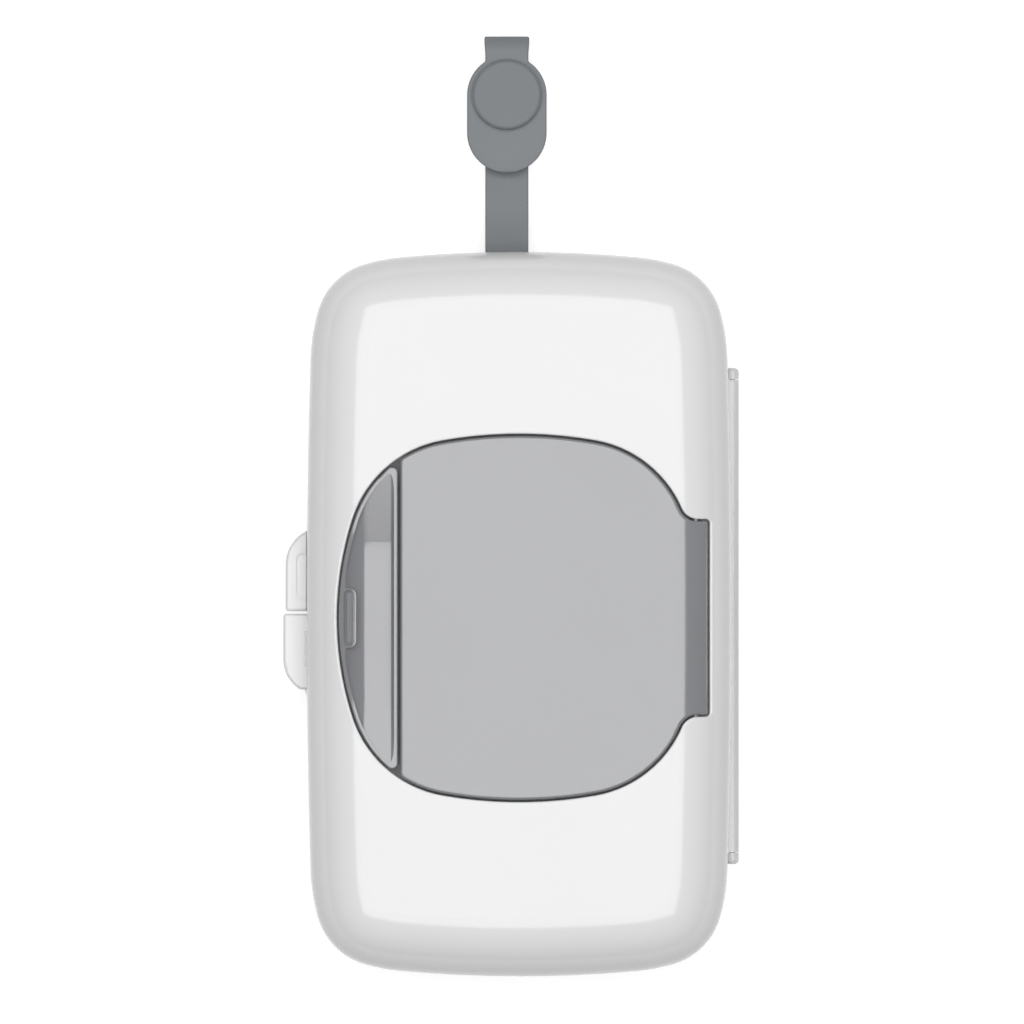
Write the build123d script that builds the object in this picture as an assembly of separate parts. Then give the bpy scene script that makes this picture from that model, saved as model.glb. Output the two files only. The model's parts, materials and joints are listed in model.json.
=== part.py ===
from build123d import *
import math
import os

# Travel wipes case lying on its back, in millimetres.
# X runs across the case, towards the case hinge.
# Y runs along the case, towards the carrying strap.
# Z rises from the flat back face to the front face, and the origin is the centre of the back face.

# Case outline, seen from the front
CASE_HALF_WIDTH = 55.75
CASE_HALF_LENGTH = 95.1
SIDE_BOW_R = 2200.0
END_BOW_R = 340.0
SHOULDER_R = 52.0
CORNER_R = 17.9
CORNER_RUN_X = 24.8
CORNER_RUN_Y = 28.0

# Case depth and walls
FRONT_Z = 48.0
PARTING_Z = 20.0
PARTING_GAP = 0.3
FRONT_ROLL = 15.5
BACK_ROLL = 14.0
CASE_WALL = 2.0
LEDGE_WIDTH = 2.0
BACK_LEDGE_HEIGHT = 2.5
FRONT_LEDGE_HEIGHT = 2.0

# Gasket between the two halves
SEAL_WIDTH = 1.3
SEAL_GROOVE_CLEARANCE = 0.05
SEAL_GROOVE_DEPTH = 1.0
SEAL_EDGE = 0.3
SEAL_TOP_CLEARANCE = 0.05

# Case hinge along the right side
HINGE_X = 56.15
HINGE_Y = -0.6
HINGE_HALF_LENGTH = 65.3
HINGE_BARREL_R = 1.7
HINGE_EAR_LENGTH = 3.0
HINGE_EAR_ROUND = 1.2
HINGE_PIN_R = 0.75
HINGE_END_CAP = 0.8
HINGE_WEB_DEPTH = 2.3

# Clearances shared by the moving pieces
TURNING_GAP = 0.3
RUNNING_FIT = 0.05
FIXED_FIT = 0.02
BURY = 0.6
OVERRUN = 1.0

# Opening tabs on the left side
TAB_LOW_Z = 17.0
TAB_HIGH_Z = 23.0
TAB_EDGE_ROUND = 0.8
BACK_TAB_X = 61.4
BACK_TAB_LOW_Y = 0.7
BACK_TAB_BEND_Y = 12.9
BACK_TAB_SWEEP_R = 9.95
FRONT_TAB_X = 62.0
FRONT_TAB_HIGH_Y = 0.0
FRONT_TAB_BEND_Y = -12.0
FRONT_TAB_SWEEP_R = 9.25
FRONT_TAB_LOW_Y = -19.9
TAB_CORNER_R = 0.8
THUMB_RECESS_X = 58.6
THUMB_RECESS_LOW_Y = 3.7
THUMB_RECESS_HIGH_Y = 16.0
THUMB_RECESS_DEPTH = 1.0
THUMB_RECESS_CORNER_R = 1.8
FINGER_RECESS_MARGIN = 2.6

# Catch between the tabs' roots
CATCH_Y = -9.25
CATCH_LENGTH = 9.7
CATCH_REACH = 0.7
CATCH_THICKNESS = 1.1
CATCH_HIGH_Z = 22.2
CATCH_END_GAP = 0.3
CATCH_SIDE_GAP = 0.15
CATCH_RAIL_HIGH_Z = 22.2
CATCH_RAIL_LOW_Y = -21.8
CATCH_RAIL_SLANT = 1.6

# Lid and release button outline
LID_Y = -0.9
LID_HALF_WIDTH = 47.1
LID_HALF_LENGTH = 47.6
LID_SIDE_R = 83.3
LID_END_R = 114.2
LID_CORNER_R = 29.7
LID_TAB_X = 49.3
LID_TAB_HALF_LENGTH = 25.3
LID_TAB_FLARE_R = 5.2
LID_TAB_CORNER_R = 0.6
LID_GAP = 0.55
LID_THICKNESS = 2.2
LID_LIP_THICKNESS = 1.2
LID_LIP_WIDTH = 0.9
LID_EDGE_ROUND = 0.8
BUTTON_EDGE_ROUND = 0.4
LID_ROOT_RELIEF_R = 3.4
SHELL_LIP_ROUND = 0.5
LEAST_ROUND = 0.3

# Seam between the lid and the release button
SEAM_X = -31.4
SEAM_GAP = 0.6
SEAM_CORNER_R = 1.5

# Lid hinge
LID_AXIS_X = 46.2
LID_AXIS_Z = 44.0
LID_KNUCKLE_R = 2.1
LID_PIN_R = 0.8
LID_PIN_BOSS_LENGTH = 2.8
LID_PIN_BOSS_R = 2.0
LID_PIN_END_WALL = 0.5
LID_SPRING_BAY = 6.4

# Dispensing well under the lid
WELL_WALL = 1.6
WELL_FLOOR_Z = 39.2
WELL_FLOOR_THICKNESS = 1.6
WELL_SEAT_CLEARANCE = 0.05

# Wipe port in the well's floor
PORT_X = 4.0
PORT_WIDTH = 34.0
PORT_LENGTH = 58.0
DIAPHRAGM_THICKNESS = 1.2
DIAPHRAGM_OVERLAP = 3.0
DIAPHRAGM_SLOT_WIDTH = 7.0
DIAPHRAGM_SLOT_LENGTH = 38.0
PORT_RING_WIDTH = 4.4
PORT_RING_HEIGHT = 3.9
PORT_RING_CLEARANCE = 0.1
PORT_RING_ROUND = 0.6

# Lid seal
LID_SEAL_INSET = 0.9
LID_SEAL_WIDTH = 1.8
LID_SEAL_GAP = 0.1
LID_SEAL_RIB = 0.9
LID_SEAL_RIB_HEIGHT = 1.2

# Lid catch and the button's ledge
LATCH_WIDTH = 12.0
LATCH_THICKNESS = 1.2
LATCH_DROP = 3.0
LATCH_NOSE = 0.5
LATCH_INSET = 1.6

# Release button
BUTTON_SKIN = 1.6
BUTTON_SKIRT = 1.4
BUTTON_BOTTOM_Z = 42.4
DISH_RIM = 1.0
DISH_DEPTH = 4.3
DISH_FLAT_HALF = 16.0
DISH_END_Y = 46.0
DISH_RAMP = 11.2
DISH_BEND_R = 40.0
DISH_SIDE_R = 9.0
DISH_SIDE_X = -38.4
DISH_CORNER_R = 1.0
DISH_SKIN = 1.3
PLATFORM_WALL = 0.8
PLATFORM_X = -42.6
PLATFORM_HALF_LENGTH = 7.8
PLATFORM_CORNER_R = 2.0
PILL_X = -44.4
PILL_WIDTH = 1.3
PILL_LENGTH = 13.1
PILL_GROOVE_WIDTH = 0.8
PILL_GROOVE_DEPTH = 0.9

# Button hinge and its return spring
BUTTON_AXIS_X = -44.6
BUTTON_AXIS_Z = 43.5
BUTTON_PIN_R = 0.7
BUTTON_LUG_R = 1.25
BUTTON_LUG_INNER = 1.2
BUTTON_LUG_LENGTH = 2.8
BUTTON_EAR_LENGTH = 2.0
BUTTON_SPRING_X = -36.4
BUTTON_SPRING_R = 1.8
BUTTON_SPRING_WIRE = 0.4
BUTTON_SPRING_TURNS = 3.0
BUTTON_SPRING_END_GAP = 0.05

# Torsion spring on the lid's hinge pin
LID_SPRING_WIRE = 0.5
LID_SPRING_INNER_R = 1.05
LID_SPRING_PITCH = 1.0
LID_SPRING_TURNS = 3.0
LID_SPRING_START = -74.0
LID_SPRING_LEG = 5.0
LID_SPRING_LEAN = 0.14
LID_SPRING_FOOT_GAP = 0.1

# Carrying strap
STRAP_X = -3.2
STRAP_WIDTH = 11.4
STRAP_THICKNESS = 2.2
STRAP_EDGE_ROUND = 0.5
STRAP_PIN_Y = 91.3
STRAP_PIN_Z = 10.5
STRAP_PIN_R = 1.2
STRAP_PIN_LENGTH = 17.0
STRAP_EYE_R = 2.7
STRAP_EXIT_Y = 96.8
STRAP_EXIT_Z = 9.7
STRAP_LAND_Y = 125.0
STRAP_EXIT_BEND_R = 9.0
STRAP_LAND_BEND_R = 40.0
STRAP_FOLD_Y = 148.0
STRAP_LEG_GAP = 4.6
STRAP_POCKET_SIDE_GAP = 0.6
STRAP_POCKET_LOW_Z = 4.4
STRAP_POCKET_HIGH_Z = 16.6
STRAP_POCKET_DEPTH = 7.6
STRAP_BOX_WALL = 1.8
PIN_END_GAP = 0.2

# Oval end of the strap's flap
FLAP_END_R = 10.5
FLAP_FAR_Y = 126.9
FLAP_THICKNESS = 2.4
FLAP_HINGE_GAP = 0.15

# Snap fastener
SNAP_Y = 136.9
CAP_R = 9.2
CAP_HEIGHT = 2.2
CAP_EDGE_ROUND = 1.0
CAP_STEM_R = 2.6
SOCKET_R = 5.0
SOCKET_HEIGHT = 2.2
SOCKET_BORE_R = 2.9
STUD_FLANGE_R = 5.0
STUD_FLANGE_HEIGHT = 2.0
STUD_R = 2.1
STUD_HEIGHT = 1.5
STUD_ROUND = 1.26
POST_HEAD_R = 4.2
POST_HEAD_HEIGHT = 0.9
POST_STEM_R = 1.6
SNAP_FIT = 0.02

os.makedirs("parts", exist_ok=True)


def save(solid, name):
    solid.label = name
    export_step(solid, f"parts/{name}.step")


def box_between(low, high):
    size = [high[i] - low[i] for i in range(3)]
    middle = [(high[i] + low[i]) / 2 for i in range(3)]
    return Pos(*middle) * Box(*size)


def rod_along_y(x, y, z, radius, length):
    return Pos(x, y, z) * Rot(90, 0, 0) * Cylinder(radius, length)


def rod_along_x(x, y, z, radius, length):
    return Pos(x, y, z) * Rot(0, 90, 0) * Cylinder(radius, length)


def standing_rod(x, y, low_z, radius, height):
    return Pos(x, y, low_z + height / 2) * Cylinder(radius, height)


def prism(face, low_z, high_z):
    return extrude(Pos(0, 0, low_z) * face, amount=high_z - low_z, dir=(0, 0, 1))


# Outlines made of tangent arcs
def four_way_outline(side, bends, end):
    """Close one quarter's arcs into a full outline.

    side and end are (centre coordinate, radius, half angle); bends are (centre, radius, start, end).
    """
    side_x, side_r, side_angle = side
    end_y, end_r, end_angle = end
    arcs = [CenterArc((side_x, 0), side_r, -side_angle, 2 * side_angle)]
    for (x, y), r, start, stop in bends:
        arcs.append(CenterArc((x, y), r, start, stop - start))
    arcs.append(CenterArc((0, end_y), end_r, end_angle, 180 - 2 * end_angle))
    for (x, y), r, start, stop in reversed(bends):
        arcs.append(CenterArc((-x, y), r, 180 - stop, stop - start))
    arcs.append(CenterArc((-side_x, 0), side_r, 180 - side_angle, 2 * side_angle))
    for (x, y), r, start, stop in bends:
        arcs.append(CenterArc((-x, -y), r, 180 + start, stop - start))
    arcs.append(CenterArc((0, -end_y), end_r, 180 + end_angle, 180 - 2 * end_angle))
    for (x, y), r, start, stop in reversed(bends):
        arcs.append(CenterArc((x, -y), r, 360 - stop, stop - start))
    return make_face(arcs)


def tangent_centre(first, second, first_reach, second_reach):
    """Centre of the arc that lies inside two larger arcs and touches both."""
    gap = math.dist(first, second)
    along = (first_reach**2 - second_reach**2 + gap**2) / (2 * gap)
    aside = math.sqrt(first_reach**2 - along**2)
    ux = (second[0] - first[0]) / gap
    uy = (second[1] - first[1]) / gap
    foot = (first[0] + along * ux, first[1] + along * uy)
    options = [(foot[0] + s * aside * uy, foot[1] - s * aside * ux) for s in (1, -1)]
    return max(options, key=sum)


def heading(start, stop):
    return math.degrees(math.atan2(stop[1] - start[1], stop[0] - start[0]))


def case_plan(grow=0.0):
    """The case's outline, moved outwards by grow."""
    side_centre = (CASE_HALF_WIDTH - SIDE_BOW_R, 0.0)
    end_centre = (0.0, CASE_HALF_LENGTH - END_BOW_R)
    side_stop = math.asin((CASE_HALF_LENGTH - CORNER_RUN_Y) / SIDE_BOW_R)
    end_start = math.acos((CASE_HALF_WIDTH - CORNER_RUN_X) / END_BOW_R)
    side_step = SIDE_BOW_R - SHOULDER_R
    end_step = END_BOW_R - SHOULDER_R
    first = (side_centre[0] + side_step * math.cos(side_stop), side_step * math.sin(side_stop))
    second = (end_step * math.cos(end_start), end_centre[1] + end_step * math.sin(end_start))
    corner = tangent_centre(first, second, SHOULDER_R - CORNER_R, SHOULDER_R - CORNER_R)
    bends = [
        (first, SHOULDER_R + grow, math.degrees(side_stop), heading(first, corner)),
        (corner, CORNER_R + grow, heading(first, corner), heading(second, corner)),
        (second, SHOULDER_R + grow, heading(second, corner), math.degrees(end_start)),
    ]
    side = (side_centre[0], SIDE_BOW_R + grow, math.degrees(side_stop))
    end = (end_centre[1], END_BOW_R + grow, math.degrees(end_start))
    return four_way_outline(side, bends, end)


def lid_arcs():
    """Centres of the lid's side, end and corner arcs, and the angles at which they meet."""
    side = (LID_HALF_WIDTH - LID_SIDE_R, 0.0)
    end = (0.0, LID_HALF_LENGTH - LID_END_R)
    corner = tangent_centre(side, end, LID_SIDE_R - LID_CORNER_R, LID_END_R - LID_CORNER_R)
    return side, end, corner, heading(side, corner), heading(end, corner)


def lid_round(grow=0.0):
    """The rounded square that the lid and the release button share, moved outwards by grow."""
    side_centre, end_centre, corner, side_stop, end_start = lid_arcs()
    bends = [(corner, LID_CORNER_R + grow, side_stop, end_start)]
    side = (side_centre[0], LID_SIDE_R + grow, side_stop)
    end = (end_centre[1], LID_END_R + grow, end_start)
    return Pos(0, LID_Y) * four_way_outline(side, bends, end)


def hinge_tab_arcs(side, corner, corner_r, end_start, grow):
    """One side of the lid's hinge tab: its rounded tip, its straight side and its flared root."""
    reach = LID_TAB_X + grow
    half = LID_TAB_HALF_LENGTH + grow
    flare_r = LID_TAB_FLARE_R - grow
    tip_r = max(LID_TAB_CORNER_R + grow, LEAST_ROUND)
    flare_y = half + flare_r
    flare_x = corner[0] + math.sqrt((corner_r + flare_r) ** 2 - (flare_y - corner[1]) ** 2)
    flare_angle = heading(corner, (flare_x, flare_y))
    root = (corner[0], side * corner[1])
    return [
        Line((reach, 0), (reach, side * (half - tip_r))),
        CenterArc((reach - tip_r, side * (half - tip_r)), tip_r, 0, side * 90),
        Line((reach - tip_r, side * half), (flare_x, side * half)),
        CenterArc((flare_x, side * flare_y), flare_r, side * 270, side * (flare_angle - 90)),
        CenterArc(root, corner_r, side * flare_angle, side * (end_start - flare_angle)),
    ]


def lid_plan(grow=0.0):
    """The rounded square with its hinge tab, moved outwards by grow."""
    side_centre, end_centre, corner, side_stop, end_start = lid_arcs()
    corner_r = LID_CORNER_R + grow
    end_r = LID_END_R + grow
    arcs = []
    for side in (1, -1):
        arcs += hinge_tab_arcs(side, corner, corner_r, end_start, grow)
        end = (0, side * end_centre[1])
        arcs.append(CenterArc(end, end_r, side * end_start, side * (180 - 2 * end_start)))
        far_corner = (-corner[0], side * corner[1])
        turn = side * (end_start - side_stop)
        arcs.append(CenterArc(far_corner, corner_r, side * (180 - end_start), turn))
    side_r = LID_SIDE_R + grow
    arcs.append(CenterArc((-side_centre[0], 0), side_r, 180 - side_stop, 2 * side_stop))
    return Pos(0, LID_Y) * make_face(arcs)


def seam_side(plan, x, keep_right, corner_r):
    """The part of the outline on one side of the seam, with its two seam corners rounded."""
    size = 4 * LID_HALF_LENGTH
    offset = size / 2 if keep_right else -size / 2
    piece = plan & (Pos(x + offset, LID_Y) * Rectangle(size, size))
    corners = [v for v in piece.vertices() if abs(v.X - x) < 0.01]
    return fillet(corners, corner_r)


def panel_plan(inset=0.0):
    """The lid's own share of the outline, moved inwards by inset."""
    x = SEAM_X + SEAM_GAP / 2 + inset
    return seam_side(lid_plan(-inset), x, True, SEAM_CORNER_R)


def button_plan(inset=0.0):
    """The release button's crescent, moved inwards by inset."""
    x = SEAM_X - SEAM_GAP / 2 - inset
    return seam_side(lid_round(-inset), x, False, max(SEAM_CORNER_R - inset, LEAST_ROUND))


def port_plan(grow=0.0):
    slot = SlotOverall(PORT_LENGTH + 2 * grow, PORT_WIDTH + 2 * grow, rotation=90)
    return Pos(PORT_X, LID_Y) * slot


# Bodies of the two case halves
def wall_roll(roll):
    """A rounding radius that the case's corner radius leaves room for."""
    return min(roll, CORNER_R - LEAST_ROUND)


def front_body(inset=0.0, low_z=PARTING_Z):
    roll = wall_roll(FRONT_ROLL)
    block = prism(case_plan(-inset), low_z, FRONT_Z - inset)
    top = block.edges().group_by(Axis.Z)[-1]
    return fillet(top, roll - inset)


def back_body(inset=0.0, high_z=PARTING_Z):
    roll = wall_roll(BACK_ROLL)
    block = prism(case_plan(-inset), inset, high_z)
    bottom = block.edges().group_by(Axis.Z)[0]
    return fillet(bottom, roll - inset)


def rim_ring(outer_inset, width, low_z, high_z):
    outer = prism(case_plan(-outer_inset), low_z, high_z)
    return outer - prism(case_plan(-outer_inset - width), low_z, high_z)


# Case hinge
def barrel_span():
    return HINGE_HALF_LENGTH - HINGE_EAR_LENGTH - PARTING_GAP / 2


def hinge_bore(clearance):
    length = 2 * HINGE_HALF_LENGTH - HINGE_END_CAP
    y = HINGE_Y - HINGE_END_CAP / 2
    return rod_along_y(HINGE_X, y, PARTING_Z, HINGE_PIN_R + clearance, length)


def hinge_ears():
    """Two short rounded knuckles of the back half, one at each end of the hinge."""
    ears = []
    for side in (-1, 1):
        y = HINGE_Y + side * (HINGE_HALF_LENGTH - HINGE_EAR_LENGTH / 2)
        ear = rod_along_y(HINGE_X, y, PARTING_Z, HINGE_BARREL_R, HINGE_EAR_LENGTH)
        rims = ear.edges().filter_by(GeomType.CIRCLE).sort_by(Axis.Y)
        ear = fillet(rims[-1] if side > 0 else rims[0], HINGE_EAR_ROUND)
        inner_y = y - side * HINGE_EAR_LENGTH / 2
        outer_y = y + side * (HINGE_EAR_LENGTH / 2 - HINGE_EAR_ROUND)
        low = (HINGE_X - HINGE_WEB_DEPTH, min(inner_y, outer_y), PARTING_Z - HINGE_BARREL_R)
        high = (HINGE_X, max(inner_y, outer_y), PARTING_Z - PARTING_GAP / 2)
        ears.append(ear + box_between(low, high))
    return ears


def front_barrel():
    """The long barrel of the front half and the web that joins it to the wall."""
    half = barrel_span()
    barrel = rod_along_y(HINGE_X, HINGE_Y, PARTING_Z, HINGE_BARREL_R, 2 * half)
    low = (HINGE_X - HINGE_WEB_DEPTH, HINGE_Y - half, PARTING_Z + PARTING_GAP / 2)
    high = (HINGE_X, HINGE_Y + half, PARTING_Z + HINGE_BARREL_R)
    return barrel + box_between(low, high)


def ear_pockets():
    pockets = []
    for side in (-1, 1):
        length = HINGE_EAR_LENGTH + PARTING_GAP / 2 + TURNING_GAP
        y = HINGE_Y + side * (HINGE_HALF_LENGTH - HINGE_EAR_LENGTH - PARTING_GAP / 2 + length / 2)
        pockets.append(rod_along_y(HINGE_X, y, PARTING_Z, HINGE_BARREL_R + TURNING_GAP, length))
    return pockets


# Opening tabs
def rounded_slab(face, low_z, high_z):
    slab = prism(face, low_z, high_z)
    rims = slab.edges().group_by(Axis.Z)
    return fillet(rims[0] + rims[-1], TAB_EDGE_ROUND)


def sweep_end(x, bend_y, radius, root_x, direction):
    """Height at which the tab's sweeping edge reaches the wall."""
    run = x - root_x
    return bend_y + direction * math.sqrt(radius**2 - (radius - run) ** 2)


def back_tab():
    """The upper tab, on the back half, with its thumb recess."""
    root_x = CASE_HALF_WIDTH - CASE_WALL / 2
    top_y = sweep_end(BACK_TAB_X, BACK_TAB_BEND_Y, BACK_TAB_SWEEP_R, root_x, 1)
    sweep = ThreePointArc(
        (-BACK_TAB_X, BACK_TAB_BEND_Y),
        arc_middle(-BACK_TAB_X + BACK_TAB_SWEEP_R, BACK_TAB_BEND_Y, BACK_TAB_SWEEP_R, (-root_x, top_y)),
        (-root_x, top_y),
    )
    rest = Polyline(
        (-root_x, top_y),
        (-root_x, BACK_TAB_LOW_Y),
        (-BACK_TAB_X, BACK_TAB_LOW_Y),
        (-BACK_TAB_X, BACK_TAB_BEND_Y),
    )
    plan = make_face([sweep, rest])
    corner = [v for v in plan.vertices() if abs(v.X + BACK_TAB_X) < 0.01 and abs(v.Y - BACK_TAB_LOW_Y) < 0.01]
    tab = rounded_slab(fillet(corner, TAB_CORNER_R), TAB_LOW_Z, TAB_HIGH_Z)
    wide = THUMB_RECESS_X - root_x
    tall = THUMB_RECESS_HIGH_Y - THUMB_RECESS_LOW_Y
    recess = Pos(-root_x - wide / 2, THUMB_RECESS_LOW_Y + tall / 2) * Rectangle(wide, tall)
    left = [v for v in recess.vertices() if v.X < -root_x - wide / 2]
    recess = fillet(left, THUMB_RECESS_CORNER_R)
    tab -= prism(recess, TAB_HIGH_Z - THUMB_RECESS_DEPTH, TAB_HIGH_Z)
    above = prism(case_plan(TURNING_GAP), PARTING_Z - PARTING_GAP / 2, TAB_HIGH_Z)
    return tab - above


def front_tab():
    """The lower tab, on the front half, with a finger recess in its back."""
    root_x = CASE_HALF_WIDTH - CASE_WALL / 2
    foot_x = FRONT_TAB_X - FRONT_TAB_SWEEP_R + math.sqrt(
        FRONT_TAB_SWEEP_R**2 - (FRONT_TAB_BEND_Y - FRONT_TAB_LOW_Y) ** 2
    )
    sweep = ThreePointArc(
        (-FRONT_TAB_X, FRONT_TAB_BEND_Y),
        arc_middle(
            -FRONT_TAB_X + FRONT_TAB_SWEEP_R, FRONT_TAB_BEND_Y, FRONT_TAB_SWEEP_R, (-foot_x, FRONT_TAB_LOW_Y)
        ),
        (-foot_x, FRONT_TAB_LOW_Y),
    )
    rest = Polyline(
        (-foot_x, FRONT_TAB_LOW_Y),
        (-root_x, FRONT_TAB_LOW_Y),
        (-root_x, FRONT_TAB_HIGH_Y),
        (-FRONT_TAB_X, FRONT_TAB_HIGH_Y),
        (-FRONT_TAB_X, FRONT_TAB_BEND_Y),
    )
    plan = make_face([sweep, rest])
    corner = [v for v in plan.vertices() if abs(v.Y - FRONT_TAB_HIGH_Y) < 0.01 and v.X < -root_x - 1]
    foot = [v for v in plan.vertices() if abs(v.Y - FRONT_TAB_LOW_Y) < 0.01 and v.X < -root_x - 0.5]
    plan = fillet(corner + foot, TAB_CORNER_R)
    tab = rounded_slab(plan, TAB_LOW_Z, TAB_HIGH_Z)
    low = (-FRONT_TAB_X + FINGER_RECESS_MARGIN, FRONT_TAB_BEND_Y - FINGER_RECESS_MARGIN, TAB_LOW_Z)
    high = (-root_x, FRONT_TAB_HIGH_Y - FINGER_RECESS_MARGIN, TAB_LOW_Z + THUMB_RECESS_DEPTH)
    tab -= box_between(low, high)
    below = prism(case_plan(TURNING_GAP), TAB_LOW_Z, PARTING_Z + PARTING_GAP / 2)
    return tab - below


def arc_middle(centre_x, centre_y, radius, stop):
    """Middle point of the arc from the centre's left-hand side to stop."""
    start_angle = math.pi
    stop_angle = math.atan2(stop[1] - centre_y, stop[0] - centre_x)
    if stop_angle < 0:
        stop_angle += 2 * math.pi
    middle = (start_angle + stop_angle) / 2
    return (centre_x + radius * math.cos(middle), centre_y + radius * math.sin(middle))


def catch_rail():
    """The thin strip of the front half between its tab and the wall, slanted at its lower end."""
    inner = CASE_HALF_WIDTH - CASE_WALL / 2
    outer = CASE_HALF_WIDTH + CATCH_REACH
    outline = Polyline(
        (-inner, FRONT_TAB_HIGH_Y - TAB_CORNER_R),
        (-outer, FRONT_TAB_HIGH_Y - TAB_CORNER_R),
        (-outer, CATCH_RAIL_LOW_Y + CATCH_RAIL_SLANT),
        (-inner, CATCH_RAIL_LOW_Y - CATCH_RAIL_SLANT),
        close=True,
    )
    return prism(make_face(outline), PARTING_Z + PARTING_GAP / 2, CATCH_RAIL_HIGH_Z)


def catch_tooth():
    """The back half's tooth, which stands in the window of the catch rail."""
    outer = CASE_HALF_WIDTH + CATCH_REACH - CATCH_SIDE_GAP
    low = (-outer, CATCH_Y - CATCH_LENGTH / 2, TAB_LOW_Z)
    high = (-outer + CATCH_THICKNESS, CATCH_Y + CATCH_LENGTH / 2, CATCH_HIGH_Z)
    foot = (-CASE_HALF_WIDTH + CASE_WALL / 2, high[1], PARTING_Z - PARTING_GAP / 2)
    return box_between(low, high) + box_between(low, foot)


def catch_window():
    outer = CASE_HALF_WIDTH + CATCH_REACH
    half = CATCH_LENGTH / 2 + CATCH_END_GAP
    low = (-outer, CATCH_Y - half, TAB_LOW_Z)
    inner = -outer + CATCH_THICKNESS + 2 * CATCH_SIDE_GAP
    return box_between(low, (inner, CATCH_Y + half, TAB_HIGH_Z))


# Strap pocket in the back half's end wall
def strap_pocket_box():
    half = STRAP_WIDTH / 2 + STRAP_POCKET_SIDE_GAP
    low = (STRAP_X - half, CASE_HALF_LENGTH - STRAP_POCKET_DEPTH, STRAP_POCKET_LOW_Z)
    high = (STRAP_X + half, CASE_HALF_LENGTH + OVERRUN, STRAP_POCKET_HIGH_Z)
    return box_between(low, high)


def strap_pocket_walls():
    half = STRAP_WIDTH / 2 + STRAP_POCKET_SIDE_GAP + STRAP_BOX_WALL
    low_z = STRAP_POCKET_LOW_Z - STRAP_BOX_WALL
    low = (STRAP_X - half, CASE_HALF_LENGTH - STRAP_POCKET_DEPTH - STRAP_BOX_WALL, low_z)
    high = (STRAP_X + half, CASE_HALF_LENGTH + OVERRUN, STRAP_POCKET_HIGH_Z + BURY)
    return box_between(low, high) & back_body(CASE_WALL / 2)


def strap_pin_hole():
    return rod_along_x(STRAP_X, STRAP_PIN_Y, STRAP_PIN_Z, STRAP_PIN_R + FIXED_FIT, STRAP_PIN_LENGTH)


def make_back_shell():
    shell = back_body() - back_body(CASE_WALL)
    ledge_low = PARTING_Z - BACK_LEDGE_HEIGHT
    shell += rim_ring(CASE_WALL - FIXED_FIT, LEDGE_WIDTH, ledge_low, PARTING_Z)
    shell += strap_pocket_walls()
    shell -= strap_pocket_box()
    shell -= strap_pin_hole()
    shell -= box_between(
        (-2 * CASE_HALF_WIDTH, -2 * CASE_HALF_LENGTH, PARTING_Z - PARTING_GAP / 2),
        (2 * CASE_HALF_WIDTH, 2 * CASE_HALF_LENGTH, 2 * PARTING_Z),
    )
    groove_width = SEAL_WIDTH + 2 * SEAL_GROOVE_CLEARANCE
    groove_low = PARTING_Z - PARTING_GAP / 2 - SEAL_GROOVE_DEPTH
    shell -= rim_ring(CASE_WALL + SEAL_EDGE, groove_width, groove_low, PARTING_Z)
    for ear in hinge_ears():
        shell += ear
    shell += back_tab()
    shell += catch_tooth()
    reach = 2 * barrel_span() + 2 * (PARTING_GAP / 2)
    shell -= rod_along_y(HINGE_X, HINGE_Y, PARTING_Z, HINGE_BARREL_R + TURNING_GAP, reach)
    shell -= hinge_bore(FIXED_FIT)
    return shell


def make_case_seal():
    low_z = PARTING_Z - PARTING_GAP / 2 - SEAL_GROOVE_DEPTH
    high_z = PARTING_Z + PARTING_GAP / 2 - SEAL_TOP_CLEARANCE
    return rim_ring(CASE_WALL + SEAL_EDGE + SEAL_GROOVE_CLEARANCE, SEAL_WIDTH, low_z, high_z)


def make_case_hinge_pin():
    length = 2 * HINGE_HALF_LENGTH - 2 * HINGE_END_CAP
    return rod_along_y(HINGE_X, HINGE_Y, PARTING_Z, HINGE_PIN_R, length)


def lid_pin_bosses():
    """Blocks under the front wall, at both ends of the hinge tab, that hold the lid's pin."""
    bosses = []
    for side in (-1, 1):
        near = LID_TAB_HALF_LENGTH + LID_GAP
        y = LID_Y + side * (near + LID_PIN_BOSS_LENGTH / 2)
        boss = rod_along_y(LID_AXIS_X, y, LID_AXIS_Z, LID_PIN_BOSS_R, LID_PIN_BOSS_LENGTH)
        low = (LID_AXIS_X - LID_PIN_BOSS_R, y - LID_PIN_BOSS_LENGTH / 2, LID_AXIS_Z)
        high = (LID_AXIS_X + LID_PIN_BOSS_R, y + LID_PIN_BOSS_LENGTH / 2, FRONT_Z)
        block = (boss + box_between(low, high)) & front_body(CASE_WALL / 2)
        bosses.append(block - prism(lid_plan(LID_GAP), PARTING_Z, FRONT_Z + OVERRUN))
    return bosses


def lid_pin_span():
    return LID_TAB_HALF_LENGTH + LID_GAP + LID_PIN_BOSS_LENGTH - LID_PIN_END_WALL


def make_front_shell():
    low_z = PARTING_Z + PARTING_GAP / 2
    shell = front_body(0, low_z) - front_body(CASE_WALL, low_z)
    opening = prism(lid_plan(LID_GAP), PARTING_Z, FRONT_Z + OVERRUN)
    shell -= opening
    lip = [e for e in shell.edges() if on_front_opening(e)]
    shell = fillet(lip, SHELL_LIP_ROUND)
    shell += rim_ring(CASE_WALL - FIXED_FIT, LEDGE_WIDTH, low_z, low_z + FRONT_LEDGE_HEIGHT)
    for boss in lid_pin_bosses():
        shell += boss
    shell -= rod_along_y(LID_AXIS_X, LID_Y, LID_AXIS_Z, LID_PIN_R + FIXED_FIT, 2 * lid_pin_span())
    shell += front_barrel()
    for pocket in ear_pockets():
        shell -= pocket
    shell += front_tab()
    shell += catch_rail()
    shell -= catch_window()
    shell -= hinge_bore(RUNNING_FIT)
    return shell


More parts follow.
